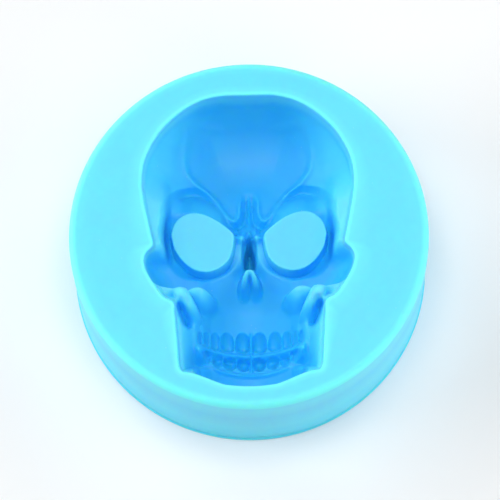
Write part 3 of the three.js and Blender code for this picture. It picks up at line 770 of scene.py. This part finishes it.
def satin_silicone():
    material = bpy.data.materials.new("satin_silicone_rubber")
    material.use_nodes = True
    tree = material.node_tree
    shader = tree.nodes["Principled BSDF"]
    # The colour ramp paints shade into the rubber: darker and bluer where a place sees less sky.
    painted_shade_and_glow = add_node(tree, "ShaderNodeAttribute", {"attribute_name": "painted_shade_and_glow"})
    painted_shade_tint = add_node(tree, "ShaderNodeValToRGB", Fac=painted_shade_and_glow.outputs["Fac"])
    while len(painted_shade_tint.color_ramp.elements) < len(PAINTED_SHADE_TINTS):
        painted_shade_tint.color_ramp.elements.new(0.5)
    for stop, (seen, code) in zip(painted_shade_tint.color_ramp.elements, PAINTED_SHADE_TINTS):
        stop.position = seen
        stop.color = linear(code)
    place = add_node(tree, "ShaderNodeTexCoord").outputs["Object"]
    clouds = add_node(tree, "ShaderNodeTexNoise", {"Scale": 1 / CLOUD_SIZE, "Detail": 3.0}, Vector=place)
    clouding = {"To Min": 1 - CLOUD_STRENGTH, "To Max": 1 + CLOUD_STRENGTH}
    clouded = add_node(tree, "ShaderNodeMapRange", clouding, Value=clouds.outputs["Fac"])
    pigment = add_node(tree, "ShaderNodeVectorMath", {"operation": "SCALE"}, Scale=clouded.outputs["Result"])
    tree.links.new(painted_shade_tint.outputs["Color"], pigment.inputs[0])
    dust = add_node(tree, "ShaderNodeTexVoronoi", {"Scale": 1 / DUST_SPACING}, Vector=place)
    crumb_edge = {"From Min": DUST_SIZE / DUST_SPACING, "From Max": 0.0, "To Max": DUST_STRENGTH}
    crumb = add_node(tree, "ShaderNodeMapRange", crumb_edge, Value=dust.outputs["Distance"])
    # A Mix node of colours takes them at its inputs 6 and 7 and gives the result at its output 2.
    dust_and_painted_shade = add_node(tree, "ShaderNodeMix", {"data_type": "RGBA"})
    tree.links.new(crumb.outputs["Result"], dust_and_painted_shade.inputs["Factor"])
    tree.links.new(pigment.outputs["Vector"], dust_and_painted_shade.inputs[6])
    dust_and_painted_shade.inputs[7].default_value = linear(DUST_COLOUR)
    tree.links.new(dust_and_painted_shade.outputs[2], shader.inputs["Base Color"])
    blasted = add_node(tree, "ShaderNodeTexNoise", {"Scale": 1 / GRAIN_SIZE, "Detail": 2.0}, Vector=place)
    grain = {"Strength": GRAIN_STRENGTH, "Distance": GRAIN_HEIGHT}
    skin = add_node(tree, "ShaderNodeBump", grain, Height=blasted.outputs["Fac"])
    tree.links.new(skin.outputs["Normal"], shader.inputs["Normal"])
    satin = {"To Min": SATIN[0], "To Max": SATIN[1]}
    rubbed = add_node(tree, "ShaderNodeMapRange", satin, Value=clouds.outputs["Fac"])
    tree.links.new(rubbed.outputs["Result"], shader.inputs["Roughness"])
    shader.inputs["IOR"].default_value = SILICONE_IOR
    shader.inputs["Subsurface Weight"].default_value = LIGHT_ENTERS
    shader.inputs["Subsurface Radius"].default_value = LIGHT_DEPTH_BY_COLOUR
    shader.inputs["Subsurface Scale"].default_value = LIGHT_DEPTH
    return material


mould = bpy.data.objects.new("mould_skin", mould_mesh())
bpy.context.scene.collection.objects.link(mould)
mould.data.materials.append(satin_silicone())
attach(mould, "root")
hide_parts("mould_body")

# The floor is a plain sheet of matt white card that the mould stands on. It is flat, and wide
# enough to fill the view.
FLOOR_SIZE = 4
bpy.ops.mesh.primitive_plane_add(size=FLOOR_SIZE, location=(0, 0, 0))
floor = bpy.context.object
floor.name = "floor"
floor_paint = bpy.data.materials.new("matt_white_sweep")
floor_paint.use_nodes = True
floor_paint.node_tree.nodes["Principled BSDF"].inputs["Base Color"].default_value = linear("#F6F6F6")
floor_paint.node_tree.nodes["Principled BSDF"].inputs["Roughness"].default_value = 0.9
floor.data.materials.append(floor_paint)

# Soft studio light: six softboxes stand low round the mould, with a little more light from the
# left, one hangs straight above it and one high in front. The top face is evenly lit, and the
# hollow darkens with its depth, from the lamps and from the painted shade in the rubber's colour.
SOFTBOX_SIDE = 0.53
SOFTBOX_DISTANCE = 1.0
SOFTBOXES = [  # name, turn from the right hand side, height angle and power in watts
    ("softbox_above", 0, 90, 5.0), ("softbox_left", 180, 12, 4.3), ("softbox_upper_left", 180, 30, 1.9),
    ("softbox_right", 0, 16, 2.9), ("softbox_front_right", 315, 12, 2.9),
    ("softbox_back_left", 135, 30, 2.7), ("softbox_back_right", 45, 30, 1.6),
    ("softbox_front", 270, 56, 1.2),
]
for name, turn, rise, watts in SOFTBOXES:
    lamp = bpy.data.objects.new(name, bpy.data.lights.new(name, "AREA"))
    bpy.context.scene.collection.objects.link(lamp)
    lamp.data.size = SOFTBOX_SIDE
    lamp.data.energy = watts
    flat = math.cos(math.radians(rise))
    sideways = (flat * math.cos(math.radians(turn)), flat * math.sin(math.radians(turn)))
    towards = Vector((*sideways, math.sin(math.radians(rise))))
    lamp.location = towards * SOFTBOX_DISTANCE
    lamp.rotation_euler = towards.to_track_quat("Z", "Y").to_euler()

# The room is white to the camera and in reflections, and otherwise dark.
room = bpy.data.worlds.new("white_room")
bpy.context.scene.world = room
room.use_nodes = True
surroundings = room.node_tree.nodes["Background"]
surroundings.inputs["Color"].default_value = (1, 1, 1, 1)
light_path = add_node(room.node_tree, "ShaderNodeLightPath")
seen = light_path.outputs["Is Camera Ray"]
for ray in ("Is Glossy Ray", "Is Transmission Ray"):
    either = add_node(room.node_tree, "ShaderNodeMath", {"operation": "MAXIMUM"})
    room.node_tree.links.new(seen, either.inputs[0])
    room.node_tree.links.new(light_path.outputs[ray], either.inputs[1])
    seen = either.outputs["Value"]
room.node_tree.links.new(seen, surroundings.inputs["Strength"])

# The camera looks down from the front, 17 degrees off the vertical and 0.48 m away, through a
# long lens. Its middle lies a little off the middle of the mould.
CAMERA_DISTANCE = 0.48
CAMERA_ELEVATION = math.radians(73.18)
CAMERA_ROLL = math.radians(2.33)
CAMERA_TURN = math.radians(1.3)
LENS = 173.2
SENSOR = 36
FOCAL_PIXELS = 2405.6  # the same lens, in pixels of a view 500 pixels wide
AIM_RIGHT = -1.29 / FOCAL_PIXELS
AIM_UP = 18.42 / FOCAL_PIXELS

away = Vector((0, -math.cos(CAMERA_ELEVATION), math.sin(CAMERA_ELEVATION)))
right = Vector((1, 0, 0))
up = away.cross(right)
tilted_right = right * math.cos(CAMERA_ROLL) - up * math.sin(CAMERA_ROLL)
tilted_up = right * math.sin(CAMERA_ROLL) + up * math.cos(CAMERA_ROLL)
look = (-away - tilted_right * AIM_RIGHT - tilted_up * AIM_UP).normalized()
camera_right = (tilted_right - look * tilted_right.dot(look)).normalized()
axes = Matrix((camera_right, camera_right.cross(look), -look)).transposed()
turn = Matrix.Rotation(CAMERA_TURN, 3, "Z")
camera = bpy.data.objects.new("camera", bpy.data.cameras.new("camera"))
bpy.context.scene.collection.objects.link(camera)
camera.matrix_world = (turn @ axes).to_4x4()
camera.location = turn @ away * CAMERA_DISTANCE + Vector((0, 0, height * MM))
camera.data.lens = LENS
camera.data.sensor_width = SENSOR
bpy.context.scene.camera = camera
bpy.context.scene.view_settings.view_transform = "Standard"
